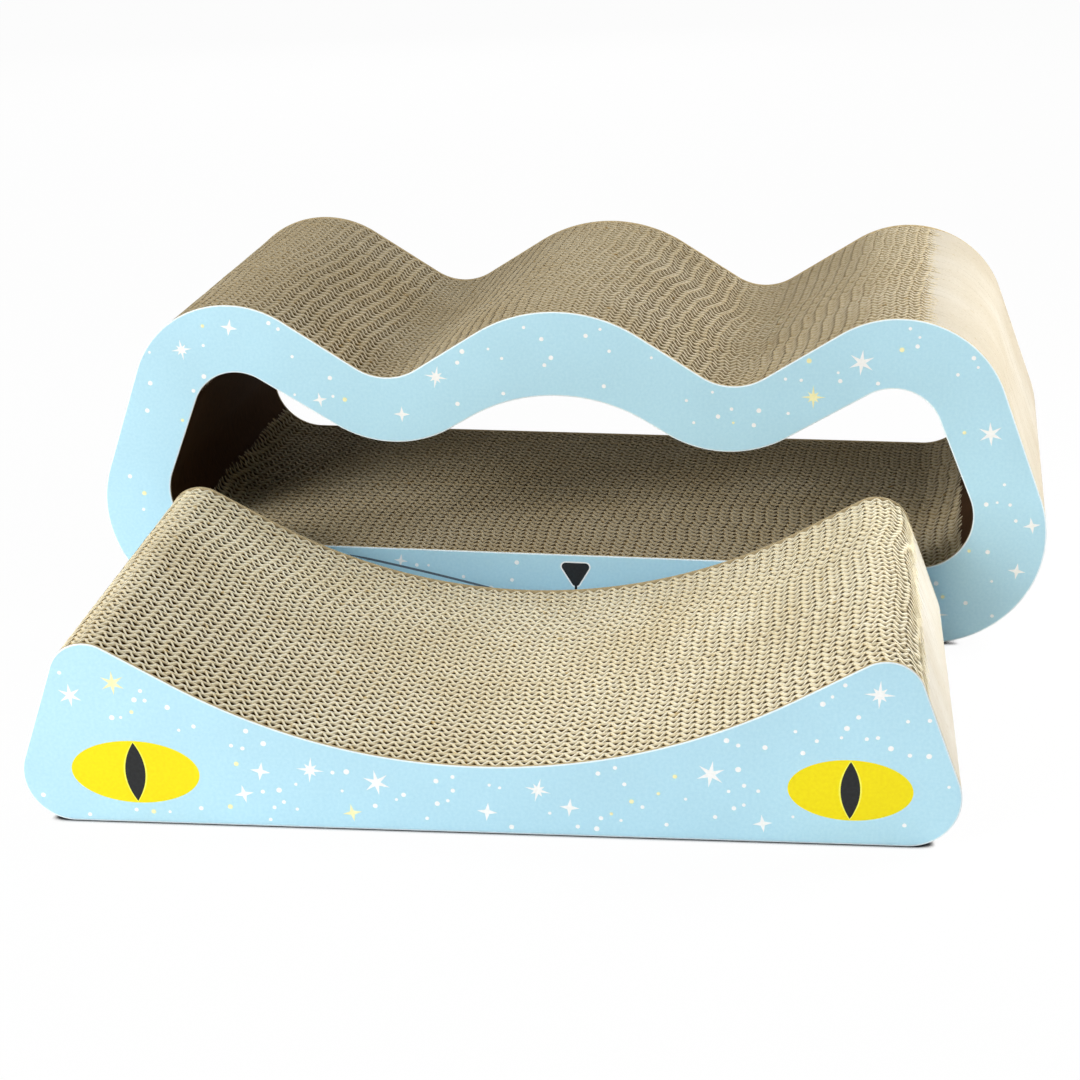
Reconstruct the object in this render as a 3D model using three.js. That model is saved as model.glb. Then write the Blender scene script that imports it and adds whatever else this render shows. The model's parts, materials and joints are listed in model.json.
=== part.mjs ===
// Two-piece cat scratcher of corrugated board. The tunnel is a low arch with a wavy
// top and an opening right through it; the cradle is a dished lounge that stands in
// front of the tunnel and is cut to nest inside the opening. Each piece is a stack of
// upright die-cut boards glued between two printed card covers.
// Millimetres, +Z up, X across the front, Y from front to back.
// The origin is the middle of the tunnel's base.
import * as THREE from 'three';

// Board stack, the same in both pieces; three boards are glued to a pack
const stackDepth = 189.5;
const packCount = 13;
const glueLine = 0.3;
const coverThickness = 1.5;

// Tunnel outline
const tunnelWidth = 460;
const tunnelHeight = 160;
const tunnelCornerRadius = 56;
const shoulderInset = 70;
const shoulderRadius = 51;
const middleCrestRadius = 73;
const valleyRadius = 27.5;
const flankDegrees = 32.2;

// Tunnel walls, measured at the widest point, the floor, the outer crests and the middle crest
const sideWall = 34;
const floorWall = 38.5;
const shoulderWall = 33.4;
const middleWall = 41;

// Opening outline
const openingCornerRadius = 26;
const openingShoulderInset = 38.3;
const openingShoulderRadius = 22.8;
const openingCrestRadius = 82.4;
const openingValleyRadius = 55.5;
const openingFlankDegrees = 30.6;

// Cradle, sized to slide into the opening
const nestSideClearance = 5;
const nestHeadroom = 8.4;
const cradleTipInset = 30.7;
const cradleTipRadius = 15.5;
const cradleFlankDegrees = 29.2;
const cradleDipFloor = 29.8;

// How the cradle stands in front of the tunnel
const standGap = 25.3;
const standShift = -3;
const standTurnDegrees = 3.2;

// Largest distance between an arc and the chords that stand for it
const chordError = 0.3;

// Colours
const coverColour = 0xb4e2f1;
const boardColour = 0xc9b88f;

const packsDepth = stackDepth - 2 * coverThickness - (packCount + 1) * glueLine;
const packThickness = packsDepth / packCount;

// A circle that an outline follows: turn +1 round a convex corner, turn -1 round a hollow
function circle(x, z, radius, turn) {
  return { x, z, radius, turn };
}

// How far the meeting point of two flanks lies beyond the arc that rounds it
function apexLift(radius, flank) {
  return radius * (1 / Math.cos(flank) - 1);
}

// Right half and middle of a wavy outline: corner, shoulder, valley and middle crest.
// Both sides of the valley rise at the same flank angle, which sets its place and depth.
function waveCircles(size) {
  const flank = THREE.MathUtils.degToRad(size.flankDegrees);
  const rise = Math.sin(flank);
  const run = Math.cos(flank);
  const shoulderX = size.halfWidth - size.shoulderInset;
  const shoulderZ = size.shoulderTop - size.shoulderRadius;
  const crestApex = size.crestTop + apexLift(size.crestRadius, flank);
  const reach = rise * shoulderX + run * (crestApex - shoulderZ) - size.shoulderRadius;
  const valleyX = reach / (2 * rise);
  const valleyApex = crestApex - valleyX * Math.tan(flank);
  const valleyFloor = valleyApex + apexLift(size.valleyRadius, flank);
  const cornerX = size.halfWidth - size.cornerRadius;
  return [
    circle(cornerX, size.bottom + size.cornerRadius, size.cornerRadius, 1),
    circle(shoulderX, shoulderZ, size.shoulderRadius, 1),
    circle(valleyX, valleyFloor + size.valleyRadius, size.valleyRadius, -1),
    circle(0, size.crestTop - size.crestRadius, size.crestRadius, 1),
  ];
}

// Right half and middle of the cradle: corner, tip and the broad dip between the tips
function cradleCircles(size) {
  const flank = THREE.MathUtils.degToRad(size.flankDegrees);
  const tipZ = size.height - size.tipRadius;
  const dipApex = tipZ + (size.tipRadius - Math.sin(flank) * size.tipX) / Math.cos(flank);
  const dipRadius = (size.dipFloor - dipApex) / apexLift(1, flank);
  return [
    circle(size.halfWidth - size.cornerRadius, size.cornerRadius, size.cornerRadius, 1),
    circle(size.tipX, tipZ, size.tipRadius, 1),
    circle(0, size.dipFloor + dipRadius, dipRadius, -1),
  ];
}

// The whole loop, counter-clockwise, from the right half that ends on the middle line
function mirrored(rightHalf) {
  const leftHalf = rightHalf.slice(0, -1).reverse();
  const flipped = leftHalf.map((c) => circle(-c.x, c.z, c.radius, c.turn));
  return [...rightHalf, ...flipped];
}

// Direction, as an angle, of the outward normal of the straight run between two circles
function tangentNormal(from, to) {
  const dx = to.x - from.x;
  const dz = to.z - from.z;
  const offset = from.turn * from.radius - to.turn * to.radius;
  return Math.atan2(dz, dx) - Math.acos(offset / Math.hypot(dx, dz));
}

// Points of the closed outline: an arc on each circle, straight runs between them
function outlinePoints(circles) {
  const points = [];
  circles.forEach((c, i) => {
    const before = circles.at(i - 1);
    const after = circles[(i + 1) % circles.length];
    const start = tangentNormal(before, c);
    const full = 2 * Math.PI;
    const swing = (((tangentNormal(c, after) - start) * c.turn) % full + full) % full;
    const step = 2 * Math.acos(1 - chordError / c.radius);
    const count = Math.ceil(swing / step);
    for (let k = 0; k <= count; k += 1) {
      const angle = start + (c.turn * swing * k) / count;
      const reach = c.turn * c.radius;
      points.push(new THREE.Vector2(c.x + reach * Math.cos(angle), c.z + reach * Math.sin(angle)));
    }
  });
  return points;
}

// One upright plate of the given outline, its front face at the given Y
function plate(name, shape, thickness, front, colour) {
  const geometry = new THREE.ExtrudeGeometry(shape, { depth: thickness, bevelEnabled: false });
  const material = new THREE.MeshStandardMaterial({ color: colour, roughness: 0.85, metalness: 0 });
  const mesh = new THREE.Mesh(geometry, material);
  mesh.name = name;
  mesh.rotation.x = Math.PI / 2;
  mesh.position.y = front + thickness;
  return mesh;
}

// Front cover, glued packs of boards and rear cover, centred on the group's own origin
function boardStack(prefix, shape) {
  const stack = new THREE.Group();
  let front = -stackDepth / 2;
  stack.add(plate(`${prefix}_front_cover`, shape, coverThickness, front, coverColour));
  front += coverThickness + glueLine;
  for (let k = 1; k <= packCount; k += 1) {
    const name = `${prefix}_board_pack_${String(k).padStart(2, '0')}`;
    stack.add(plate(name, shape, packThickness, front, boardColour));
    front += packThickness + glueLine;
  }
  stack.add(plate(`${prefix}_rear_cover`, shape, coverThickness, front, coverColour));
  return stack;
}

// Tunnel
const openingHalfWidth = tunnelWidth / 2 - sideWall;
const openingShoulderTop = tunnelHeight - shoulderWall;
const tunnelOutline = waveCircles({
  halfWidth: tunnelWidth / 2,
  bottom: 0,
  cornerRadius: tunnelCornerRadius,
  shoulderInset,
  shoulderTop: tunnelHeight,
  shoulderRadius,
  crestTop: tunnelHeight,
  crestRadius: middleCrestRadius,
  valleyRadius,
  flankDegrees,
});
const openingOutline = waveCircles({
  halfWidth: openingHalfWidth,
  bottom: floorWall,
  cornerRadius: openingCornerRadius,
  shoulderInset: openingShoulderInset,
  shoulderTop: openingShoulderTop,
  shoulderRadius: openingShoulderRadius,
  crestTop: tunnelHeight - middleWall,
  crestRadius: openingCrestRadius,
  valleyRadius: openingValleyRadius,
  flankDegrees: openingFlankDegrees,
});
const tunnelShape = new THREE.Shape(outlinePoints(mirrored(tunnelOutline)));
tunnelShape.holes.push(new THREE.Path(outlinePoints(mirrored(openingOutline))));
const tunnel = boardStack('tunnel', tunnelShape);

// Cradle: nested, it stands on the opening's floor with its tips under the outer crests,
// and its corners follow the opening's corners at the side clearance
const cradleHalfWidth = openingHalfWidth - nestSideClearance;
const cradleOutline = cradleCircles({
  halfWidth: cradleHalfWidth,
  height: openingShoulderTop - floorWall - nestHeadroom,
  cornerRadius: openingCornerRadius - nestSideClearance,
  tipX: cradleHalfWidth - cradleTipInset,
  tipRadius: cradleTipRadius,
  dipFloor: cradleDipFloor,
  flankDegrees: cradleFlankDegrees,
});
const cradle = boardStack('cradle', new THREE.Shape(outlinePoints(mirrored(cradleOutline))));
cradle.position.set(standShift, -(stackDepth + standGap), 0);
cradle.rotation.z = THREE.MathUtils.degToRad(standTurnDegrees);

const scratcher = new THREE.Group();
scratcher.add(tunnel, cradle);

export default scratcher;
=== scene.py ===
import json
import math
import random

import bmesh
import bpy
import numpy as np
from mathutils import Matrix
from mathutils import Vector
from mathutils.geometry import delaunay_2d_cdt


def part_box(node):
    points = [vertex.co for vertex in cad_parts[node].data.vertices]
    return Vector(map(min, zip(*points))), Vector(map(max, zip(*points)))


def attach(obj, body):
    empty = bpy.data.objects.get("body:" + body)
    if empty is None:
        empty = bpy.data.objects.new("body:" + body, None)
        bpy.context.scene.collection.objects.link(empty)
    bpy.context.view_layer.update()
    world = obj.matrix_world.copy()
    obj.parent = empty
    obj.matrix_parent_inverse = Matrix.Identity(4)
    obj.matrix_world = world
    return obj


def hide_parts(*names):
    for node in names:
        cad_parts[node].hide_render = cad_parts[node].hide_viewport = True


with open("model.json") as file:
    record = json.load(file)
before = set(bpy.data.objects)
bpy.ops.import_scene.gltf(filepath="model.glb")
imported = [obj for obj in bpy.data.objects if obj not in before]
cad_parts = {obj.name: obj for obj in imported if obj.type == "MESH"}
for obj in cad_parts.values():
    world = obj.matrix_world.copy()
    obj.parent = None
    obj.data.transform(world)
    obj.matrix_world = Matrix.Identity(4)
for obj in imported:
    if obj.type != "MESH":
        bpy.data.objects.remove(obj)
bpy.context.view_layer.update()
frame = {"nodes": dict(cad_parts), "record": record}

# Looks of the two-piece cat scratcher: every corrugated board is built with its real flutes,
# open at each cut edge, and the covers carry their print as geometry. Lengths are in metres.
MM = 0.001

# Places taken from the frame
PACK_COUNT = sum(name.startswith("tunnel_board_pack") for name in frame["nodes"])
TUNNEL_LOW, TUNNEL_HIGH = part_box("tunnel_front_cover")
TUNNEL_HALF_WIDTH = TUNNEL_HIGH.x
TUNNEL_HEIGHT = TUNNEL_HIGH.z
STACK_FRONT = TUNNEL_LOW.y
STACK_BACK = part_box("tunnel_rear_cover")[1].y
COVER_THICKNESS = TUNNEL_HIGH.y - TUNNEL_LOW.y
MOUNTS = {mount["name"]: mount for mount in frame["record"]["mounts"]}
CRADLE_PLACE = Vector(MOUNTS["cradle_base"]["pos_m"])

# Outline sizes and the cradle's turn, the same as the part's
CRADLE_TURN = math.radians(3.2)
TUNNEL_CORNER_RADIUS = 56 * MM
SHOULDER_INSET = 70 * MM
SHOULDER_RADIUS = 51 * MM
MIDDLE_CREST_RADIUS = 73 * MM
VALLEY_RADIUS = 27.5 * MM
FLANK_ANGLE = math.radians(32.2)
SIDE_WALL = 34 * MM
FLOOR_WALL = 38.5 * MM
SHOULDER_WALL = 33.4 * MM
MIDDLE_WALL = 41 * MM
OPENING_CORNER_RADIUS = 26 * MM
OPENING_SHOULDER_INSET = 38.3 * MM
OPENING_SHOULDER_RADIUS = 22.8 * MM
OPENING_CREST_RADIUS = 82.4 * MM
OPENING_VALLEY_RADIUS = 55.5 * MM
OPENING_FLANK_ANGLE = math.radians(30.6)
NEST_SIDE_CLEARANCE = 5 * MM
NEST_HEADROOM = 8.4 * MM
CRADLE_TIP_INSET = 30.7 * MM
CRADLE_TIP_RADIUS = 15.5 * MM
CRADLE_FLANK_ANGLE = math.radians(29.2)
CRADLE_DIP_FLOOR = 29.8 * MM
OPENING_HALF_WIDTH = TUNNEL_HALF_WIDTH - SIDE_WALL
CRADLE_HALF_WIDTH = OPENING_HALF_WIDTH - NEST_SIDE_CLEARANCE
CRADLE_HEIGHT = TUNNEL_HEIGHT - SHOULDER_WALL - FLOOR_WALL - NEST_HEADROOM
ARC_STEP = 0.7 * MM
NORMAL_ROUNDING = 1e-6

# Corrugated board
BOARDS_PER_PACK = 3
LINER_THICKNESS = 0.45 * MM
FLUTE_THICKNESS = 0.8 * MM
FLUTE_PITCH = 5.72 * MM
BOARD_PITCH = (STACK_BACK - STACK_FRONT - 2 * COVER_THICKNESS) / (PACK_COUNT * BOARDS_PER_PACK)
FLUTE_SWING = (BOARD_PITCH - LINER_THICKNESS - FLUTE_THICKNESS) / 2

# Cut edges: how far they lie below the outline, how deep painted daylight reaches into a flute before
# the painted shade of its depth, and how the sheets are trimmed and squared at the two ends of a board
CUT_RECESS = 0.15 * MM
LIT_DEPTH = 2.0 * MM
END_TRIM = 0.05 * MM
END_EASE = 1.5 * MM

# Fineness of the paper meshes
STEPS_PER_FLUTE = 8
FLUTE_END_STATIONS = 3
LINER_STEP = 2.5 * MM
LINER_END_STATIONS = 5
LINER_END_SPREAD = 0.32
FLANK_STEP = 0.8 * MM

# Unevenness of the boards; the flutes shift by an angle that drifts from board to board
SEED = 520
LEAST_SWING = 0.97
BOARD_DROP = 0.3 * MM
WANDER = 1.6
WANDER_LENGTH = 45 * MM
WANDER_SPREAD = 0.3
DRIFT_KEPT = 0.6
DRIFT_LEAN = -0.08
DRIFT_SPREAD = 0.3

# Finishes of the paper; the inner one is a near-black paper that paints shade
WALL, EDGE, PRESSED, INNER_SHADE = range(4)

# Ways from the crest at which the flutes start to be pressed together and at which they lie flat
TUNNEL_PRESSING = (0, 18 * MM)
CRADLE_PRESSING = (2 * MM, 32 * MM)

# Pressed edges: a skin that closes the flutes on the steep flanks
# and sinks in between them at its head and foot
CRUSH_THICKNESS = 0.5 * MM
CRUSH_GAP = 0.02 * MM
CRUSH_SINK = 2.0 * MM
CRUSH_SHIFT = 1.2 * MM
CRUSH_UNEVEN = 0.03 * MM

# Ways from the crest (head) and from the base (foot) at which the skin starts and lies flush
TUNNEL_RIGHT_HEAD = (0, 24 * MM)
TUNNEL_LEFT_HEAD = (36 * MM, 58 * MM)
TUNNEL_FOOT = (18 * MM, 32 * MM)
OPENING_HEAD = (17 * MM, 24 * MM)
OPENING_FOOT = (19 * MM, 27 * MM)
CRADLE_HEAD = (4 * MM, 38 * MM)
CRADLE_FOOT = (6 * MM, 12 * MM)

# Inks of the print
BLUE, WHITE, PALE_YELLOW, YELLOW, BLACK, BARE, PALE_BLUE, LEMON, GREY = range(9)

# Print: the taper of a stroke's ends
STROKE_TAPER_STEPS = 2
STROKE_TIP = 0.35

# Pale rim of a cover, where the die rounds its edge over
RIM_WIDTH = 0.6 * MM
RIM_DROP = 0.2 * MM

# Stars: (kind, reach, room kept around it, least share of the reach), and how many of each on a cover
STAR_KINDS = [
    ("large", 6.3 * MM, 12.0 * MM, 0.8),
    ("medium", 4.3 * MM, 7.0 * MM, 0.8),
    ("dot", 1.25 * MM, 3.0 * MM, 0.5),
]
STAR_COUNTS = {"tunnel": (8, 9, 110), "cradle": (7, 6, 88)}
STAR_SEED = 521
STAR_TRIES = 4000
STAR_EDGE_ROOM = 1.2 * MM
STAR_TURN = 0.25
STAR_WAIST = 0.3
SHORT_SPIKE = 0.62
SIX_SPIKE_SHARE = 0.4
PALE_YELLOW_SHARE = 0.1
DOT_SIDES = 10
PROBE_ANGLES = np.arange(8) * math.pi / 4

# Cat's face in the print: an eye at each end of the cradle, nose and whiskers on the tunnel.
# Eyes are (x, z, half width, half height).
EYES = [
    (-143.1 * MM, 23.0 * MM, 26.9 * MM, 14.0 * MM),
    (147.2 * MM, 24.0 * MM, 24.7 * MM, 13.3 * MM),
]
PUPIL_SHARE = 0.157
EYE_TURN = math.radians(-1.2)
EYE_SIDES = 72
PUPIL_GLOW = 0.7 * MM
GLOW_INSET = 0.2 * MM
NOSE_HALF_WIDTH = 6.8 * MM
NOSE_TOP = 34.3 * MM
NOSE_TIP = 22.2 * MM
NOSE_X = 7.0 * MM
NOSE_CORNER = 2.0 * MM
NOSE_OUTLINE = 0.7 * MM
NOSE_LINE_OVERLAP = 1 * MM
NOSE_LINE_LENGTH = 8 * MM
NOSE_CLEAR_HEIGHT = 26 * MM
NOSE_CLEAR_REACH = 13 * MM
WHISKER_WIDTH = 1.2 * MM

# Whiskers: (start, end, rise above the chord)
WHISKERS = [
    ((-106 * MM, 34 * MM), (-20 * MM, 15.5 * MM), 0.8 * MM),
    ((108 * MM, 34 * MM), (34 * MM, 20 * MM), -1.0 * MM),
]

# Finish of the materials; noise scales are per metre
PAPER_ROUGHNESS = 0.9
PAPER_SPECULAR = 0.04
CARD_ROUGHNESS = 0.55
CARD_SPECULAR = 0.25
BARE_ROUGHNESS = 0.85
FIBRE_SCALE = 900
FIBRE_DETAIL = 3
FIBRE_STRETCH = (1, 1, 0.15)
FIBRE_HEIGHT = 0.15 * MM
FIBRE_STRENGTH = 0.4
FIBRE_STOPS = (0.3, 0.5, 0.72)
FLECK_SCALE = 260
FLECK_STOPS = (0.66, 0.74)
PAPER_CLOUD_SCALE = 22
PAPER_CLOUD = 0xF4F0E8
CARD_CLOUD_SCALE = 12
CARD_CLOUD = 0xF6F6F6
CLOUD_STOPS = (0.3, 0.7)
PAINTED_SHADE_STOPS = (0.44, 0.7)
GRAIN_SCALE = 700
GRAIN_STOPS = (0.3, 0.7)
GRAIN_HEIGHT = 0.05 * MM
GRAIN_STRENGTH = 0.2
PLAIN_DETAIL = 2
UNCHANGED = 0xFFFFFF

# Floor, with the object's shadow and a painted contact shadow close to it
FLOOR_SIZE = 12.0
FLOOR_DROP = 0.2 * MM
CONTACT_REACH = 3.5 * MM
CONTACT_DARK = 0.52
CONTACT_CLEAR = 0.86
WHITE_SHARE = 0.97
FLOOR_ROUGHNESS = 0.95
CONTACT_SHADOW_COLOUR = 0x30343A
FLOOR_COLOUR = 0xFAFAFA

# Light
AMBIENT = 0.02
OBJECT_MIDDLE = (0, -0.1, 0.05)
PURE_WHITE = (1, 1, 1, 1)

# Camera, fitted to the photograph's view
CAMERA_PLACE = Vector((0.1775, -1.1225, 0.4412))
CAMERA_YAW = math.radians(10.349)
CAMERA_PITCH = math.radians(20.739)
CAMERA_ROLL = math.radians(-1.575)
CAMERA_LENS = 76.667
SENSOR_WIDTH = 36.0


def linear(hex_colour):
    """Scene-linear RGBA of an sRGB colour written as 0xRRGGBB."""
    channels = [(hex_colour >> shift & 255) / 255 for shift in (16, 8, 0)]
    return tuple(c / 12.92 if c <= 0.04045 else ((c + 0.055) / 1.055) ** 2.4 for c in channels) + (1.0,)


# Outlines: arcs on circles joined by straight runs, as the die cuts them
def circle(x, z, radius, turn):
    """A circle that an outline follows: turn 1 round a convex corner, turn -1 round a hollow."""
    return {"x": x, "z": z, "radius": radius, "turn": turn}


def apex_lift(radius, flank):
    """How far the meeting point of two flanks lies beyond the arc that rounds it."""
    return radius * (1 / math.cos(flank) - 1)


def mirrored(right_half):
    """The whole loop, counter-clockwise, from the right half that ends on the middle line."""
    flipped = [circle(-c["x"], c["z"], c["radius"], c["turn"]) for c in reversed(right_half[:-1])]
    return right_half + flipped


def wave_circles(half_width, bottom, corner_radius, shoulder_inset, shoulder_top, shoulder_radius,
                 crest_top, crest_radius, valley_radius, flank):
    """Corner, shoulder, valley and middle crest of a wavy outline, mirrored to a whole loop."""
    shoulder_x = half_width - shoulder_inset
    shoulder_z = shoulder_top - shoulder_radius
    crest_apex = crest_top + apex_lift(crest_radius, flank)
    reach = math.sin(flank) * shoulder_x + math.cos(flank) * (crest_apex - shoulder_z) - shoulder_radius
    valley_x = reach / (2 * math.sin(flank))
    valley_floor = crest_apex - valley_x * math.tan(flank) + apex_lift(valley_radius, flank)
    return mirrored([
        circle(half_width - corner_radius, bottom + corner_radius, corner_radius, 1),
        circle(shoulder_x, shoulder_z, shoulder_radius, 1),
        circle(valley_x, valley_floor + valley_radius, valley_radius, -1),
        circle(0, crest_top - crest_radius, crest_radius, 1),
    ])


def cradle_circles():
    """Corner, tip and broad dip of the cradle, mirrored to a whole loop."""
    corner_radius = OPENING_CORNER_RADIUS - NEST_SIDE_CLEARANCE
    tip_x = CRADLE_HALF_WIDTH - CRADLE_TIP_INSET
    tip_z = CRADLE_HEIGHT - CRADLE_TIP_RADIUS
    flank = CRADLE_FLANK_ANGLE
    dip_apex = tip_z + (CRADLE_TIP_RADIUS - math.sin(flank) * tip_x) / math.cos(flank)
    dip_radius = (CRADLE_DIP_FLOOR - dip_apex) / apex_lift(1, flank)
    return mirrored([
        circle(CRADLE_HALF_WIDTH - corner_radius, corner_radius, corner_radius, 1),
        circle(tip_x, tip_z, CRADLE_TIP_RADIUS, 1),
        circle(0, CRADLE_DIP_FLOOR + dip_radius, dip_radius, -1),
    ])


def inset(circles, distance):
    """The same loop moved inwards by a distance, or outwards by a negative one."""
    return [circle(c["x"], c["z"], c["radius"] - c["turn"] * distance, c["turn"]) for c in circles]


def tangent_normal(a, b):
    """Direction of the outward normal of the straight run between two circles."""
    dx, dz = b["x"] - a["x"], b["z"] - a["z"]
    offset = a["turn"] * a["radius"] - b["turn"] * b["radius"]
    return math.atan2(dz, dx) - math.acos(offset / math.hypot(dx, dz))


def loop_points(circles, step=ARC_STEP):
    """Points (x, z) round the loop, counter-clockwise, and the outward normal at each."""
    points, normals = [], []
    for i, c in enumerate(circles):
        start = tangent_normal(circles[i - 1], c)
        end = tangent_normal(c, circles[(i + 1) % len(circles)])
        swing = ((end - start) * c["turn"]) % (2 * math.pi)
        count = max(2, math.ceil(swing * c["radius"] / step))
        for k in range(count + 1):
            angle = start + c["turn"] * swing * k / count
            normal = (math.cos(angle), math.sin(angle))
            reach = c["turn"] * c["radius"]
            points.append((c["x"] + reach * normal[0], c["z"] + reach * normal[1]))
            normals.append(normal)
    return np.array(points), np.array(normals)


class Outline:
    """A loop with its lower and upper edge as heights over x."""

    def __init__(self, circles):
        self.circles = circles
        self.points, self.normals = loop_points(circles)
        x = self.points[:, 0]
        self.half_width = x.max()
        left, right = int(x.argmin()), int(x.argmax())
        order = np.arange(len(x))
        upper = order[right:left + 1]
        lower = np.concatenate([order[left:], order[:right + 1]])
        self.upper_edge = self.points[upper[::-1]]
        self.lower_edge = self.points[lower]

    def top(self, x):
        """Height of the upper edge at x."""
        return np.interp(x, self.upper_edge[:, 0], self.upper_edge[:, 1])

    def bottom(self, x):
        """Height of the lower edge at x."""
        return np.interp(x, self.lower_edge[:, 0], self.lower_edge[:, 1])


class Flank:
    """Right side of an outline from its outermost crest down to its base, with the way along it."""

    def __init__(self, outline):
        crest = int((outline.normals[:, 0] < -NORMAL_ROUNDING).argmax())
        points, normals = outline.points[:crest][::-1], outline.normals[:crest][::-1]
        steps = np.linalg.norm(np.diff(points, axis=0), axis=1)
        along = np.concatenate([[0], np.cumsum(steps)])
        self.length = along[-1]
        self.along = np.linspace(0, self.length, math.ceil(self.length / FLANK_STEP) + 1)
        self.points = np.stack([np.interp(self.along, along, points[:, k]) for k in (0, 1)], axis=1)
        self.normals = np.stack([np.interp(self.along, along, normals[:, k]) for k in (0, 1)], axis=1)
        self.normals /= np.linalg.norm(self.normals, axis=1)[:, None]
        self.widest = int(self.points[:, 0].argmax())

    def way(self, x):
        """Way from the crest at which the flank is as far from the middle as x."""
        return np.interp(np.abs(x), self.points[:self.widest + 1, 0], self.along[:self.widest + 1])


TUNNEL = Outline(wave_circles(
    half_width=TUNNEL_HALF_WIDTH,
    bottom=0,
    corner_radius=TUNNEL_CORNER_RADIUS,
    shoulder_inset=SHOULDER_INSET,
    shoulder_top=TUNNEL_HEIGHT,
    shoulder_radius=SHOULDER_RADIUS,
    crest_top=TUNNEL_HEIGHT,
    crest_radius=MIDDLE_CREST_RADIUS,
    valley_radius=VALLEY_RADIUS,
    flank=FLANK_ANGLE,
))
OPENING = Outline(wave_circles(
    half_width=OPENING_HALF_WIDTH,
    bottom=FLOOR_WALL,
    corner_radius=OPENING_CORNER_RADIUS,
    shoulder_inset=OPENING_SHOULDER_INSET,
    shoulder_top=TUNNEL_HEIGHT - SHOULDER_WALL,
    shoulder_radius=OPENING_SHOULDER_RADIUS,
    crest_top=TUNNEL_HEIGHT - MIDDLE_WALL,
    crest_radius=OPENING_CREST_RADIUS,
    valley_radius=OPENING_VALLEY_RADIUS,
    flank=OPENING_FLANK_ANGLE,
))
CRADLE = Outline(cradle_circles())
TUNNEL_FLANK = Flank(TUNNEL)
OPENING_FLANK = Flank(OPENING)
CRADLE_FLANK = Flank(CRADLE)

# The open flutes end a little below the pressed edges
TUNNEL_CUT = Outline(inset(TUNNEL.circles, CUT_RECESS))
OPENING_CUT = Outline(inset(OPENING.circles, -CUT_RECESS))
CRADLE_CUT = Outline(inset(CRADLE.circles, CUT_RECESS))
TUNNEL_END = TUNNEL_CUT.half_width - END_TRIM
CRADLE_END = CRADLE_CUT.half_width - END_TRIM
OPENING_END = OPENING_CUT.half_width

# Where flutes are pressed together: (flank, way at which it starts, way at which they are flat)
TUNNEL_PRESS = (TUNNEL_FLANK, *TUNNEL_PRESSING)
CRADLE_PRESS = (CRADLE_FLANK, *CRADLE_PRESSING)

# Stretches of a board between two heights: (first x, last x, lower edge, upper edge, press)
TUNNEL_BANDS = [
    (-TUNNEL_END, -OPENING_END, TUNNEL_CUT.bottom, TUNNEL_CUT.top, TUNNEL_PRESS),
    (-OPENING_END, OPENING_END, TUNNEL_CUT.bottom, OPENING_CUT.bottom, None),
    (-OPENING_END, OPENING_END, OPENING_CUT.top, TUNNEL_CUT.top, TUNNEL_PRESS),
    (OPENING_END, TUNNEL_END, TUNNEL_CUT.bottom, TUNNEL_CUT.top, TUNNEL_PRESS),
]
CRADLE_BANDS = [(-CRADLE_END, CRADLE_END, CRADLE_CUT.bottom, CRADLE_CUT.top, CRADLE_PRESS)]


class Paper:
    """Collects strips of paper, each with an even number of sides, into one mesh."""

    def __init__(self):
        self.points = []
        self.painted_daylight = []
        self.faces = []
        self.finishes = []
        self.count = 0

    def strip(self, corners, finishes, painted_daylight):
        """A strip from columns of corners, shape (columns, sides, 3), with a finish for each side
        and the share of painted daylight at each corner, shape (columns, sides), which paints shade into
        the flute depths."""
        columns, sides = corners.shape[:2]
        grid = self.count + np.arange(columns * sides).reshape(columns, sides)
        self.points.append(corners.reshape(-1, 3))
        self.painted_daylight.append(painted_daylight.reshape(-1))
        self.count += columns * sides
        for side in range(sides):
            after = (side + 1) % sides
            near, far = grid[:, side], grid[:, after]
            quads = np.stack([near[:-1], near[1:], far[1:], far[:-1]], axis=1)
            self.faces.append(quads)
            self.finishes.append(np.full(columns - 1, finishes[side]))
        for k in range(sides // 2 - 1):
            cap = [k, k + 1, sides - 2 - k, sides - 1 - k]
            self.faces.append(np.array([grid[0, cap], grid[-1, cap[::-1]]]))
            self.finishes.append(np.full(2, EDGE))

    def piece(self, name, materials):
        """The collected strips as one object, one material for each finish."""
        mesh = bpy.data.meshes.new(name)
        mesh.from_pydata(np.concatenate(self.points).tolist(), [], np.concatenate(self.faces).tolist())
        mesh.polygons.foreach_set("material_index", np.concatenate(self.finishes).astype(np.int32))
        painted_daylight = mesh.attributes.new("painted_daylight", "FLOAT", "POINT")
        painted_daylight.data.foreach_set("value", np.concatenate(self.painted_daylight).astype(np.float32))
        for material in materials:
            mesh.materials.append(material)
        mesh.update()
        piece = bpy.data.objects.new(name, mesh)
        bpy.context.scene.collection.objects.link(piece)
        return piece


def pressed_share(x, press):
    """How far the flutes at x are pressed flat, from 0 to 1."""
    if press is None:
        return np.zeros(len(x))
    flank, start, full = press
    return np.clip((flank.way(x) - start) / (full - start), 0, 1)


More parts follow.
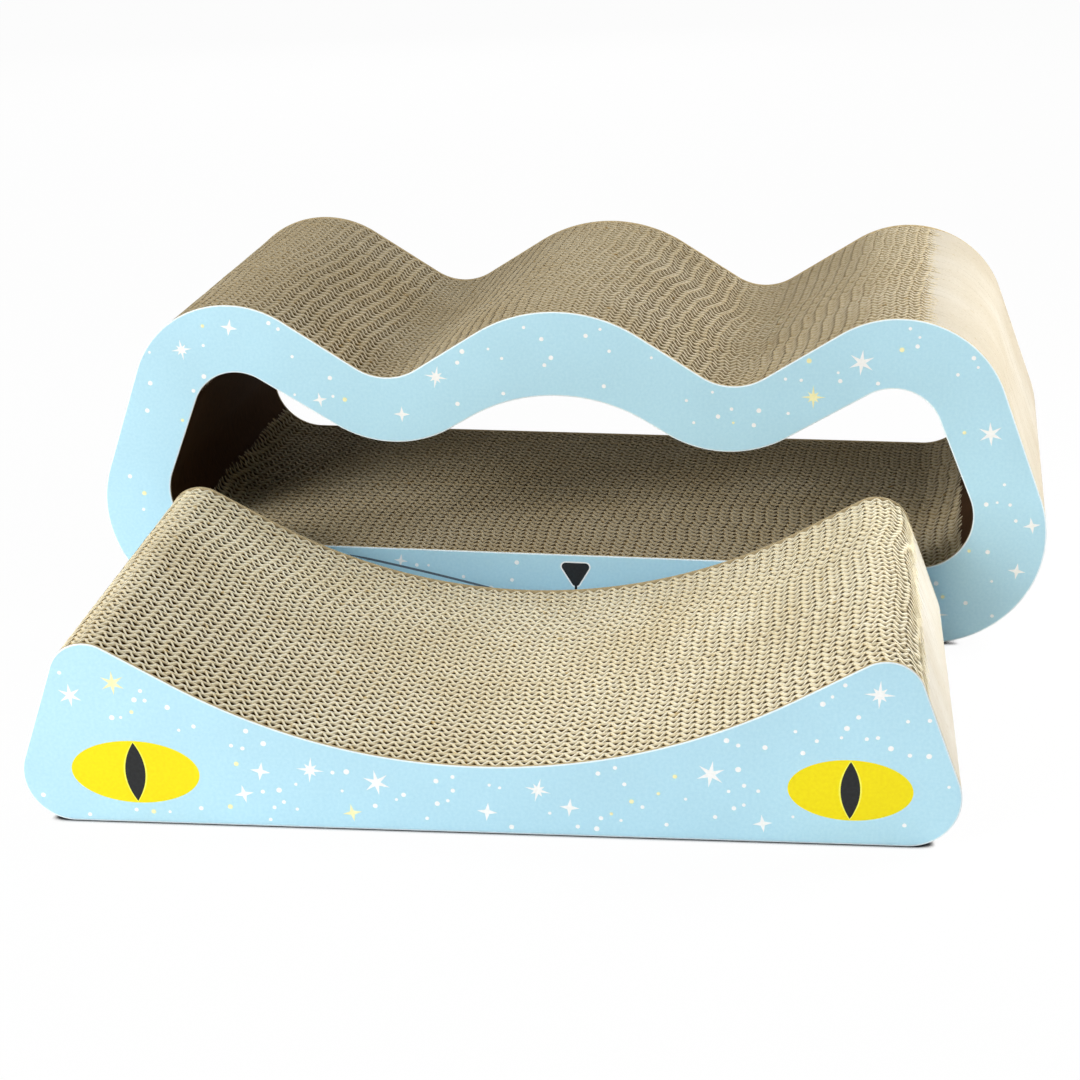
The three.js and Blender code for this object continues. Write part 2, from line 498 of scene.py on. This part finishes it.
def upright_sheet(paper, x, y, slope, thickness, bottom, top, drop, press):
    """One upright sheet along the line y(x), cut to the heights bottom(x) and top(x)."""
    across = np.sqrt(1 + slope ** 2)
    to_end = np.minimum(x - x[0], x[-1] - x)
    shift_x = -slope / across * thickness / 2 * np.clip(to_end / END_EASE, 0, 1)
    shift_y = 1 / across * thickness / 2
    front_x, back_x = x - shift_x, x + shift_x
    columns = []
    for side_x, side_y in ((front_x, y - shift_y), (back_x, y + shift_y)):
        low, high = bottom(side_x), top(side_x) - drop
        middle = high - np.minimum(LIT_DEPTH, (high - low) / 2)
        levels = [(side_x, side_y, level) for level in (low, middle, high)]
        columns += levels if not columns else levels[::-1]
    corners = np.stack([np.stack(column, axis=1) for column in columns], axis=1)
    # Painted daylight: full at the cut edge, fading to painted shade within LIT_DEPTH below it; where
    # flutes are pressed flat the shade is left out
    deep = pressed_share(x, press)
    full = np.ones(len(x))
    painted_daylight = np.stack([deep, deep, full, full, deep, deep], axis=1)
    paper.strip(corners, (WALL, WALL, EDGE, WALL, WALL, EDGE), painted_daylight)


def liner_samples(first, last):
    """Stations along a flat liner, closer together towards both ends, where outlines turn steep."""
    middle = np.linspace(first, last, math.ceil((last - first) / LINER_STEP) + 1)
    near = (np.arange(1, LINER_END_STATIONS + 1) * LINER_END_SPREAD) ** 2 * LINER_STEP
    return np.unique(np.concatenate([middle, first + near, last - near]))


def flute_samples(first, last):
    """Stations along a fluted sheet, closer together towards both ends, where outlines turn steep."""
    count = math.ceil((last - first) / FLUTE_PITCH * STEPS_PER_FLUTE)
    middle = np.linspace(first, last, count + 1)
    near = (np.arange(1, FLUTE_END_STATIONS + 1) / (FLUTE_END_STATIONS + 1)) ** 2
    near = near * FLUTE_PITCH / STEPS_PER_FLUTE
    return np.unique(np.concatenate([middle, first + near, last - near]))


def board(paper, bands, front, phase, wander, chance):
    """One board: a flat liner and the fluted paper glued behind it."""
    swing = FLUTE_SWING * chance.uniform(LEAST_SWING, 1.0)
    drop = chance.uniform(0, BOARD_DROP)
    middle = front + LINER_THICKNESS + FLUTE_THICKNESS / 2 + FLUTE_SWING
    turn = 2 * math.pi / FLUTE_PITCH
    for first, last, bottom, top, press in bands:
        x = liner_samples(first, last)
        y = np.full(len(x), front + LINER_THICKNESS / 2)
        upright_sheet(paper, x, y, np.zeros(len(x)), LINER_THICKNESS, bottom, top, drop, press)
        x = flute_samples(first, last)
        angle = turn * x + phase + WANDER * np.sin(x / WANDER_LENGTH + wander)
        rate = turn + WANDER / WANDER_LENGTH * np.cos(x / WANDER_LENGTH + wander)
        y = middle + swing * np.sin(angle)
        upright_sheet(paper, x, y, swing * rate * np.cos(angle), FLUTE_THICKNESS, bottom, top, drop, press)


# Skins on the flanks: (flank, side 1 right or -1 left, 1 outer or -1 inner wall, finish, head, foot, press)
TUNNEL_EDGES = [
    (TUNNEL_FLANK, 1, 1, PRESSED, TUNNEL_RIGHT_HEAD, TUNNEL_FOOT, TUNNEL_PRESS),
    (TUNNEL_FLANK, -1, 1, PRESSED, TUNNEL_LEFT_HEAD, TUNNEL_FOOT, TUNNEL_PRESS),
    # The opening's inner skins take the near-black paper: painted shade inside the tunnel
    (OPENING_FLANK, 1, -1, INNER_SHADE, OPENING_HEAD, OPENING_FOOT, None),
    (OPENING_FLANK, -1, -1, INNER_SHADE, OPENING_HEAD, OPENING_FOOT, None),
]
CRADLE_EDGES = [
    (CRADLE_FLANK, side, 1, PRESSED, CRADLE_HEAD, CRADLE_FOOT, CRADLE_PRESS) for side in (1, -1)
]


def crushed_edge(paper, edge, front, chance):
    """Closed edge of one board along a flank, which sinks between the flutes at both ends."""
    flank, side, inward, finish, (start, full), (low_start, low_full), press = edge
    shift = chance.uniform(-CRUSH_SHIFT, CRUSH_SHIFT)
    back = front + BOARD_PITCH - CRUSH_GAP
    from_base = flank.length - flank.along
    upper = (flank.along + shift - start) / (full - start)
    lower = (from_base + shift - low_start) / (low_full - low_start)
    share = np.clip(np.minimum(upper, lower), 0, 1)
    run = np.flatnonzero(share > 0)
    if side * inward > 0:
        run = run[::-1]
    points = flank.points[run] * (side, 1)
    normals = flank.normals[run] * (side * inward, inward)
    sink = CRUSH_SINK * (1 - share[run]) ** 2
    depth = (chance.uniform(0, CRUSH_UNEVEN) + sink)[:, None]
    outer = points - normals * depth
    inner = points - normals * (depth + CRUSH_THICKNESS)
    columns = []
    for ring, y in ((outer, back), (outer, front), (inner, front), (inner, back)):
        columns.append(np.stack([ring[:, 0], np.full(len(ring), y), ring[:, 1]], axis=1))
    # Painted daylight for the skin: painted shade where it sinks between the flutes, full daylight where
    # they are pressed flat
    light = np.maximum(1 - sink / CRUSH_SINK, pressed_share(points[:, 0], press))
    painted_daylight = np.repeat(light[:, None], 4, axis=1)
    paper.strip(np.stack(columns, axis=1), (finish, finish, WALL, finish), painted_daylight)


def board_packs(prefix, body, bands, edges, place, materials, chance):
    """Every glued pack of boards of one stack, each a piece that stands for its CAD node."""
    phase = chance.uniform(0, 2 * math.pi)
    wander = chance.uniform(0, 2 * math.pi)
    drift = 0.0
    for k in range(PACK_COUNT):
        paper = Paper()
        for j in range(BOARDS_PER_PACK):
            row = k * BOARDS_PER_PACK + j
            front = STACK_FRONT + COVER_THICKNESS + row * BOARD_PITCH
            board(paper, bands, front, phase, wander, chance)
            for edge in edges:
                crushed_edge(paper, edge, front, chance)
            drift = DRIFT_KEPT * drift + chance.gauss(DRIFT_LEAN, DRIFT_SPREAD)
            phase += drift
            wander += chance.gauss(0, WANDER_SPREAD)
        piece = paper.piece(f"{prefix}_boards_{k + 1:02d}", materials)
        piece.matrix_world = place
        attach(piece, body)
        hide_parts(f"{prefix}_board_pack_{k + 1:02d}")


# Print shapes, as outlines (x, z) on a cover
def sparkle(x, z, reach, spikes, waist, minor=1.0, turn=0.0):
    """A star with thin spikes; every other spike is shorter by the factor minor."""
    points = []
    for k in range(2 * spikes):
        angle = turn + math.pi / 2 + math.pi * k / spikes
        length = reach * waist
        if k % 2 == 0:
            length = reach * (minor if k // 2 % 2 else 1.0)
        points.append((x + length * math.cos(angle), z + length * math.sin(angle)))
    return points


def ellipse(x, z, half_width, half_height, count):
    """A level ellipse as a polygon with the given number of sides."""
    angles = [2 * math.pi * k / count for k in range(count)]
    return [(x + half_width * math.cos(a), z + half_height * math.sin(a)) for a in angles]


def lens(x, z, half_width, half_height, count=24):
    """Two bows that meet in points above and below."""
    rise = [2 * k / count - 1 for k in range(count)]
    right = [(x + half_width * (1 - u * u), z + half_height * u) for u in rise]
    left = [(x - half_width * (1 - u * u), z - half_height * u) for u in rise]
    return right + left


def turned(points, x, z, angle):
    """The same outline turned counter-clockwise about a point."""
    cos, sin = math.cos(angle), math.sin(angle)
    moved = []
    for px, pz in points:
        dx, dz = px - x, pz - z
        moved.append((x + dx * cos - dz * sin, z + dx * sin + dz * cos))
    return moved


def stroke(path, width):
    """A line of even width with pointed ends along a path of (x, z)."""
    path = np.array(path)
    along = np.gradient(path, axis=0)
    along /= np.linalg.norm(along, axis=1)[:, None]
    side = np.stack([-along[:, 1], along[:, 0]], axis=1)
    steps = np.arange(len(path))
    taper = np.minimum(1, np.minimum(steps, steps[::-1]) / STROKE_TAPER_STEPS + STROKE_TIP)
    offset = side * (width / 2 * taper)[:, None]
    return np.concatenate([path - offset, (path + offset)[::-1]]).tolist()


def bow(start, end, rise, count=16):
    """A shallow curve from start to end that rises above the chord."""
    points = []
    for k in range(count + 1):
        u = k / count
        x = start[0] + (end[0] - start[0]) * u
        z = start[1] + (end[1] - start[1]) * u + rise * 4 * u * (1 - u)
        points.append((x, z))
    return points


def inside(point, polygon):
    """Even-odd test of a point against a closed polygon."""
    x, z = point
    within = False
    for a, b in zip(polygon, np.roll(polygon, -1, axis=0)):
        if (a[1] > z) != (b[1] > z) and x < a[0] + (z - a[1]) / (b[1] - a[1]) * (b[0] - a[0]):
            within = not within
    return within


def star_shape(kind, x, z, reach, chance):
    """A round dot, a medium star with 4 spikes, or a large one with 6 or 8."""
    if kind == "dot":
        return ellipse(x, z, reach, reach, DOT_SIDES)
    turn = chance.uniform(-STAR_TURN, STAR_TURN)
    if kind == "medium":
        return sparkle(x, z, reach, 4, STAR_WAIST, turn=turn)
    if chance.random() < SIX_SPIKE_SHARE:
        return sparkle(x, z, reach, 6, STAR_WAIST, turn=turn)
    return sparkle(x, z, reach, 8, STAR_WAIST, minor=SHORT_SPIKE, turn=turn)


def crowded(x, z, room, taken):
    """Whether a place lies in the room around any mark, given as (x, z, half width, half height)."""
    for mark_x, mark_z, wide, tall in taken:
        if math.hypot((x - mark_x) / wide, (z - mark_z) / tall) < 1 + room / min(wide, tall):
            return True
    return False


def star_field(outer, hole, keep_clear, counts, chance):
    """Stars scattered over a cover, the large ones first, each with room around it."""
    low, high = outer.min(axis=0), outer.max(axis=0)
    taken = list(keep_clear)
    marks = []
    for (kind, reach, room, least), count in zip(STAR_KINDS, counts):
        placed, tries = 0, 0
        while placed < count and tries < STAR_TRIES:
            tries += 1
            x, z = chance.uniform(low[0], high[0]), chance.uniform(low[1], high[1])
            size = reach * chance.uniform(least, 1.0)
            margin = size + RIM_WIDTH + STAR_EDGE_ROOM
            probes = [(x + margin * math.cos(a), z + margin * math.sin(a)) for a in PROBE_ANGLES]
            if not all(inside(p, outer) for p in probes):
                continue
            if hole is not None and any(inside(p, hole) for p in probes):
                continue
            if crowded(x, z, room, taken):
                continue
            tint = PALE_YELLOW if chance.random() < PALE_YELLOW_SHARE else WHITE
            marks.append((star_shape(kind, x, z, size, chance), tint))
            taken.append((x, z, size, size))
            placed += 1
    return marks


# Loops that divide a cover, before its marks
CARD, FIELD, HOLE, HOLE_RIM = range(4)

# Triangulation of a cover, in millimetres
INSIDE_LOOPS = 1
POINT_TOLERANCE = 1e-4


def print_finish(found, first_mark, marks):
    """Finish of a triangle from the loops and marks that hold it, or None where no card is."""
    has_hole = first_mark > HOLE
    if CARD not in found or (has_hole and HOLE in found):
        return None
    if FIELD not in found or (has_hole and HOLE_RIM in found):
        return PALE_BLUE
    drawn = [i for i in found if i >= first_mark]
    return marks[max(drawn) - first_mark][1] if drawn else BLUE


def cover(name, outline, hole, marks, materials):
    """A card cover whose front face lies at y 0, printed with the given marks."""
    loops = [outline.points, loop_points(inset(outline.circles, RIM_WIDTH))[0]]
    if hole is not None:
        loops += [hole.points, loop_points(inset(hole.circles, -RIM_WIDTH))[0]]
    shapes = [np.array(loop) for loop in loops] + [np.array(shape) for shape, _ in marks]
    points, faces = [], []
    for shape in shapes:
        faces.append(list(range(len(points), len(points) + len(shape))))
        points += [Vector((float(x) / MM, float(z) / MM)) for x, z in shape]
    corners, _, triangles, _, _, sources = delaunay_2d_cdt(points, [], faces, INSIDE_LOOPS, POINT_TOLERANCE)
    solid = bmesh.new()
    front = [solid.verts.new((p.x * MM, 0, p.y * MM)) for p in corners]
    back = [solid.verts.new((p.x * MM, COVER_THICKNESS, p.y * MM)) for p in corners]
    for triangle, found in zip(triangles, sources):
        finish = print_finish(found, len(loops), marks)
        if finish is None:
            continue
        solid.faces.new([front[i] for i in triangle]).material_index = finish
        solid.faces.new([back[i] for i in reversed(triangle)]).material_index = BARE
    rims = [edge for edge in solid.edges if len(edge.link_faces) == 1 and edge.verts[0].co.y == 0]
    twin = dict(zip(front, back))
    for edge in rims:
        loop = edge.link_loops[0]
        a, b = loop.vert, loop.link_loop_next.vert
        solid.faces.new([b, a, twin[a], twin[b]]).material_index = BARE
    for vertex in {v for edge in rims for v in edge.verts}:
        vertex.co.y = RIM_DROP
    bmesh.ops.delete(solid, geom=[v for v in solid.verts if not v.link_faces], context="VERTS")
    bmesh.ops.recalc_face_normals(solid, faces=solid.faces)
    mesh = bpy.data.meshes.new(name)
    solid.to_mesh(mesh)
    solid.free()
    for material in materials:
        mesh.materials.append(material)
    piece = bpy.data.objects.new(name, mesh)
    bpy.context.scene.collection.objects.link(piece)
    return piece


def eye_marks():
    """Yellow eyes with slit pupils, each edged in a paler yellow."""
    marks = []
    for x, z, half_width, half_height in EYES:
        pupil = half_width * PUPIL_SHARE
        iris = ellipse(x, z, half_width, half_height, EYE_SIDES)
        marks.append((turned(iris, x, z, EYE_TURN), YELLOW))
        marks.append((lens(x, z, pupil + PUPIL_GLOW, half_height - GLOW_INSET), LEMON))
        marks.append((lens(x, z, pupil, half_height - PUPIL_GLOW), BLACK))
    return marks


def nose_outline(grow):
    """A triangle with rounded corners that stands on its tip, grown on every side."""
    radius = NOSE_CORNER + grow
    across = NOSE_HALF_WIDTH - NOSE_CORNER
    top = NOSE_TOP - NOSE_CORNER
    return loop_points([
        circle(NOSE_X, NOSE_TIP + NOSE_CORNER, radius, 1),
        circle(NOSE_X + across, top, radius, 1),
        circle(NOSE_X - across, top, radius, 1),
    ])[0]


def nose_marks():
    """Whiskers, then the nose on its white outline and the line below it."""
    marks = [(stroke(bow(*whisker), WHISKER_WIDTH), GREY) for whisker in WHISKERS]
    line_top = (NOSE_X, NOSE_TIP + NOSE_LINE_OVERLAP)
    line_end = (NOSE_X, NOSE_TIP - NOSE_LINE_LENGTH)
    marks.append((nose_outline(NOSE_OUTLINE), WHITE))
    marks.append((stroke(bow(line_top, line_end, 0), WHISKER_WIDTH), BLACK))
    marks.append((nose_outline(0), BLACK))
    return marks


def covers(prefix, body, outline, hole, face_marks, keep_clear, place, materials, chance):
    """Front and rear cover of one stack; the rear one carries stars alone."""
    counts = STAR_COUNTS[prefix]
    clear_hole = None if hole is None else hole.points
    front_at = Matrix.Translation((0, STACK_FRONT, 0))
    rear_at = Matrix.Translation((0, STACK_BACK, 0)) @ Matrix.Rotation(math.pi, 4, "Z")
    sides = (("front", front_at, face_marks, keep_clear), ("rear", rear_at, [], []))
    for side, at, marks, clear in sides:
        stars = star_field(outline.points, clear_hole, clear, counts, chance)
        piece = cover(f"{prefix}_{side}_print", outline, hole, stars + marks, materials)
        piece.matrix_world = place @ at
        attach(piece, body)
        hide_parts(f"{prefix}_{side}_cover")


# Materials
def new_material(name, roughness, specular):
    """A new material with its node tree and shader."""
    material = bpy.data.materials.new(name)
    material.use_nodes = True
    shader = material.node_tree.nodes["Principled BSDF"]
    shader.inputs["Roughness"].default_value = roughness
    shader.inputs["Specular IOR Level"].default_value = specular
    return material, material.node_tree, shader


def noise(tree, scale, detail, stretch=(1, 1, 1)):
    """Value of a noise in object coordinates, stretched along the axes."""
    place = tree.nodes.new("ShaderNodeTexCoord")
    mapping = tree.nodes.new("ShaderNodeMapping")
    mapping.inputs["Scale"].default_value = stretch
    texture = tree.nodes.new("ShaderNodeTexNoise")
    texture.inputs["Scale"].default_value = scale
    texture.inputs["Detail"].default_value = detail
    tree.links.new(place.outputs["Object"], mapping.inputs["Vector"])
    tree.links.new(mapping.outputs["Vector"], texture.inputs["Vector"])
    return texture.outputs["Fac"]


def ramp(tree, value, stops, colours):
    """Colour ramp over a value, with an sRGB colour at each stop."""
    node = tree.nodes.new("ShaderNodeValToRGB")
    elements = node.color_ramp.elements
    while len(elements) < len(stops):
        elements.new(0.5)
    for element, position, colour in zip(elements, stops, colours):
        element.position = position
        element.color = linear(colour)
    tree.links.new(value, node.inputs["Fac"])
    return node.outputs["Color"]


def multiplied(tree, a, b):
    """Product of two colours."""
    node = tree.nodes.new("ShaderNodeMix")
    node.data_type = "RGBA"
    node.blend_type = "MULTIPLY"
    node.inputs["Factor"].default_value = 1.0
    tree.links.new(a, node.inputs["A"])
    tree.links.new(b, node.inputs["B"])
    return node.outputs["Result"]


def bump(tree, shader, value, distance, strength):
    """Relief of a shader from a value."""
    node = tree.nodes.new("ShaderNodeBump")
    node.inputs["Distance"].default_value = distance
    node.inputs["Strength"].default_value = strength
    tree.links.new(value, node.inputs["Height"])
    tree.links.new(node.outputs["Normal"], shader.inputs["Normal"])


def paper_material(name, shades, fleck, depth):
    """Kraft paper: fibres along the flutes in three shades, brown flecks, clouds and painted shade in the
    flute depths.
    """
    material, tree, shader = new_material(name, PAPER_ROUGHNESS, PAPER_SPECULAR)
    fibres = noise(tree, FIBRE_SCALE, FIBRE_DETAIL, FIBRE_STRETCH)
    fine = ramp(tree, fibres, FIBRE_STOPS, shades)
    flecks = ramp(tree, noise(tree, FLECK_SCALE, PLAIN_DETAIL), FLECK_STOPS, (UNCHANGED, fleck))
    clouds = noise(tree, PAPER_CLOUD_SCALE, PLAIN_DETAIL)
    broad = ramp(tree, clouds, CLOUD_STOPS, (PAPER_CLOUD, UNCHANGED))
    flecked = multiplied(tree, multiplied(tree, fine, broad), flecks)
    # Painted shade: the colour darkens to the depth colour where the painted daylight attribute is low
    painted_daylight = tree.nodes.new("ShaderNodeAttribute")
    painted_daylight.attribute_name = "painted_daylight"
    painted_shade = ramp(tree, painted_daylight.outputs["Fac"], PAINTED_SHADE_STOPS, (depth, UNCHANGED))
    tree.links.new(multiplied(tree, flecked, painted_shade), shader.inputs["Base Color"])
    bump(tree, shader, fibres, FIBRE_HEIGHT, FIBRE_STRENGTH)
    return material


def card_material(name, dark, light, roughness=CARD_ROUGHNESS):
    """Printed card: a fine grain over an even ink."""
    material, tree, shader = new_material(name, roughness, CARD_SPECULAR)
    grain = noise(tree, GRAIN_SCALE, PLAIN_DETAIL)
    clouds = noise(tree, CARD_CLOUD_SCALE, PLAIN_DETAIL)
    fine = ramp(tree, grain, GRAIN_STOPS, (dark, light))
    broad = ramp(tree, clouds, CLOUD_STOPS, (CARD_CLOUD, UNCHANGED))
    tree.links.new(multiplied(tree, fine, broad), shader.inputs["Base Color"])
    bump(tree, shader, grain, GRAIN_HEIGHT, GRAIN_STRENGTH)
    return material


# Materials in the order of the finishes and of the inks
# Tunnel and cradle are one kraft board: the tunnel's darker, greyer tones paint the shade on it, the
# cradle's lighter tones paint the light on it
shaded_tunnel_paper = [
    paper_material("tunnel_flute_paper", (0xB0A07D, 0xBEAE8B, 0xCABB9A), 0xDCCBA8, 0xAE9E7C),
    paper_material("tunnel_cut_edge", (0xC2B69B, 0xCFC4AA, 0xD8CEB7), 0xDCCBA8, UNCHANGED),
    paper_material("tunnel_pressed_edge", (0xC3BBAB, 0xC7BFAF, 0xCBC4B5), 0xF6F0E4, 0xAEA28E),
    # Near-black kraft for the opening's inner skins: painted shade where the tunnel's inside lies in shadow
    paper_material("tunnel_inner_painted_shade", (0x382410, 0x3E2812, 0x462E16), 0xE4D6BC, 0xAEA28E),
]
cradle_paper = [
    paper_material("cradle_flute_paper", (0xF2E4BE, 0xFBEFCC, 0xFEF7DC), 0xE6D6B4, 0x5E4412),
    paper_material("cradle_cut_edge", (0xF6EBCB, 0xFDF5DB, 0xFFFBE9), 0xE6D6B4, UNCHANGED),
    paper_material("cradle_pressed_edge", (0xE2DBCD, 0xE6E0D3, 0xEAE5DA), 0xF6F0E4, 0x5C4822),
]
print_inks = [
    card_material("blue_ink", 0xB3DEEE, 0xBDE4F2),
    card_material("white_card", 0xF4F5F2, 0xFEFEFC),
    card_material("pale_yellow_ink", 0xF4EFB0, 0xFAF6C4),
    card_material("yellow_ink", 0xF2DC04, 0xF7E408),
    card_material("black_ink", 0x1C1D1E, 0x262728),
    card_material("bare_card", 0xBCA77E, 0xD2C098, BARE_ROUGHNESS),
    card_material("pale_blue_ink", 0xE6F6FC, 0xF0FAFD),
    card_material("lemon_ink", 0xF8F04C, 0xFCF664),
    card_material("grey_ink", 0x58646E, 0x66727C),
]

# The object
tunnel_place = Matrix.Identity(4)
cradle_place = Matrix.Translation(CRADLE_PLACE) @ Matrix.Rotation(CRADLE_TURN, 4, "Z")
chance = random.Random(SEED)
star_chance = random.Random(STAR_SEED)
nose_clear = [(NOSE_X, NOSE_CLEAR_HEIGHT, NOSE_CLEAR_REACH, NOSE_CLEAR_REACH)]
board_packs("tunnel", "tunnel", TUNNEL_BANDS, TUNNEL_EDGES, tunnel_place, shaded_tunnel_paper, chance)
board_packs("cradle", "cradle", CRADLE_BANDS, CRADLE_EDGES, cradle_place, cradle_paper, chance)
covers("tunnel", "tunnel", TUNNEL, OPENING, nose_marks(), nose_clear, tunnel_place,
       print_inks, star_chance)
covers("cradle", "cradle", CRADLE, None, eye_marks(), EYES, cradle_place, print_inks, star_chance)


# Floor
def seen_share(tree):
    """One for the rays that show a background to the eye, straight, mirrored or through glass."""
    path = tree.nodes.new("ShaderNodeLightPath")
    share = path.outputs["Is Camera Ray"]
    for kind in ("Is Glossy Ray", "Is Transmission Ray"):
        larger = tree.nodes.new("ShaderNodeMath")
        larger.operation = "MAXIMUM"
        tree.links.new(share, larger.inputs[0])
        tree.links.new(path.outputs[kind], larger.inputs[1])
        share = larger.outputs["Value"]
    return share


def floor_material():
    """White floor that is seen near pure white, with the object's shadow kept close to it and a painted
    contact shadow darkening its colour there.
    """
    material, tree, shader = new_material("floor", FLOOR_ROUGHNESS, CARD_SPECULAR)
    # Painted contact shadow: ambient occlusion turns the floor's colour dark next to the object
    open_sky = tree.nodes.new("ShaderNodeAmbientOcclusion")
    open_sky.inputs["Distance"].default_value = CONTACT_REACH
    stops = (CONTACT_DARK, CONTACT_CLEAR)
    painted_contact_shadow = ramp(tree, open_sky.outputs["AO"], stops, (CONTACT_SHADOW_COLOUR, FLOOR_COLOUR))
    tree.links.new(painted_contact_shadow, shader.inputs["Base Color"])
    glow = tree.nodes.new("ShaderNodeEmission")
    white = tree.nodes.new("ShaderNodeMapRange")
    white.inputs["From Min"].default_value = CONTACT_DARK
    white.inputs["From Max"].default_value = CONTACT_CLEAR
    white.inputs["To Max"].default_value = WHITE_SHARE
    share = tree.nodes.new("ShaderNodeMath")
    share.operation = "MULTIPLY"
    blend = tree.nodes.new("ShaderNodeMixShader")
    tree.links.new(open_sky.outputs["AO"], white.inputs["Value"])
    tree.links.new(seen_share(tree), share.inputs[0])
    tree.links.new(white.outputs["Result"], share.inputs[1])
    tree.links.new(share.outputs["Value"], blend.inputs["Fac"])
    tree.links.new(shader.outputs["BSDF"], blend.inputs[1])
    tree.links.new(glow.outputs["Emission"], blend.inputs[2])
    tree.links.new(blend.outputs["Shader"], tree.nodes["Material Output"].inputs["Surface"])
    return material


bpy.ops.mesh.primitive_plane_add(size=FLOOR_SIZE, location=(0, CRADLE_PLACE.y / 2, -FLOOR_DROP))
floor = bpy.context.object
floor.name = "floor"
floor.data.materials.append(floor_material())


# Light
def lamp(name, place, target, size, power):
    """A square lamp of the given size and watts, turned to its target."""
    data = bpy.data.lights.new(name, "AREA")
    data.size = size
    data.energy = power
    lamp_object = bpy.data.objects.new(name, data)
    lamp_object.location = place
    lamp_object.rotation_euler = (Vector(target) - Vector(place)).to_track_quat("-Z", "Y").to_euler()
    lamp_object.visible_camera = False
    bpy.context.scene.collection.objects.link(lamp_object)


lamp("fill", place=(-1.1, -1.5, 0.6), target=OBJECT_MIDDLE, size=1.0, power=20)
lamp("high_fill", place=(-0.9, -1.3, 1.1), target=OBJECT_MIDDLE, size=0.6, power=11.5)
lamp("key", place=(0.55, 0.0, 0.42), target=(0.05, -0.05, 0.1), size=0.25, power=3.55)
lamp("top", place=(0.0, -0.55, 1.0), target=(0, -0.2, 0.05), size=0.6, power=1.6)
lamp("back", place=(-0.4, 1.6, 0.7), target=OBJECT_MIDDLE, size=1.0, power=7)

world = bpy.data.worlds.new("studio")
bpy.context.scene.world = world
world.use_nodes = True
sky = world.node_tree
sky_light = sky.nodes["Background"]
sky_light.inputs["Color"].default_value = PURE_WHITE
sky_light.inputs["Strength"].default_value = AMBIENT
sky_white = sky.nodes.new("ShaderNodeBackground")
sky_white.inputs["Color"].default_value = PURE_WHITE
sky_white.inputs["Strength"].default_value = 1.0
sky_mix = sky.nodes.new("ShaderNodeMixShader")
sky.links.new(seen_share(sky), sky_mix.inputs["Fac"])
sky.links.new(sky_light.outputs["Background"], sky_mix.inputs[1])
sky.links.new(sky_white.outputs["Background"], sky_mix.inputs[2])
sky.links.new(sky_mix.outputs["Shader"], sky.nodes["World Output"].inputs["Surface"])

# Camera at the photograph's viewing angle
level_right = Vector((math.cos(CAMERA_YAW), math.sin(CAMERA_YAW), 0))
forward = Vector((
    -math.sin(CAMERA_YAW) * math.cos(CAMERA_PITCH),
    math.cos(CAMERA_YAW) * math.cos(CAMERA_PITCH),
    -math.sin(CAMERA_PITCH),
))
level_up = level_right.cross(forward)
right = level_right * math.cos(CAMERA_ROLL) + level_up * math.sin(CAMERA_ROLL)
up = level_up * math.cos(CAMERA_ROLL) - level_right * math.sin(CAMERA_ROLL)
axes = Matrix((right, up, -forward)).transposed().to_4x4()
camera_data = bpy.data.cameras.new("camera")
camera_data.lens = CAMERA_LENS
camera_data.sensor_width = SENSOR_WIDTH
camera = bpy.data.objects.new("camera", camera_data)
camera.matrix_world = Matrix.Translation(CAMERA_PLACE) @ axes
bpy.context.scene.collection.objects.link(camera)
bpy.context.scene.camera = camera
bpy.context.scene.view_settings.view_transform = "Standard"
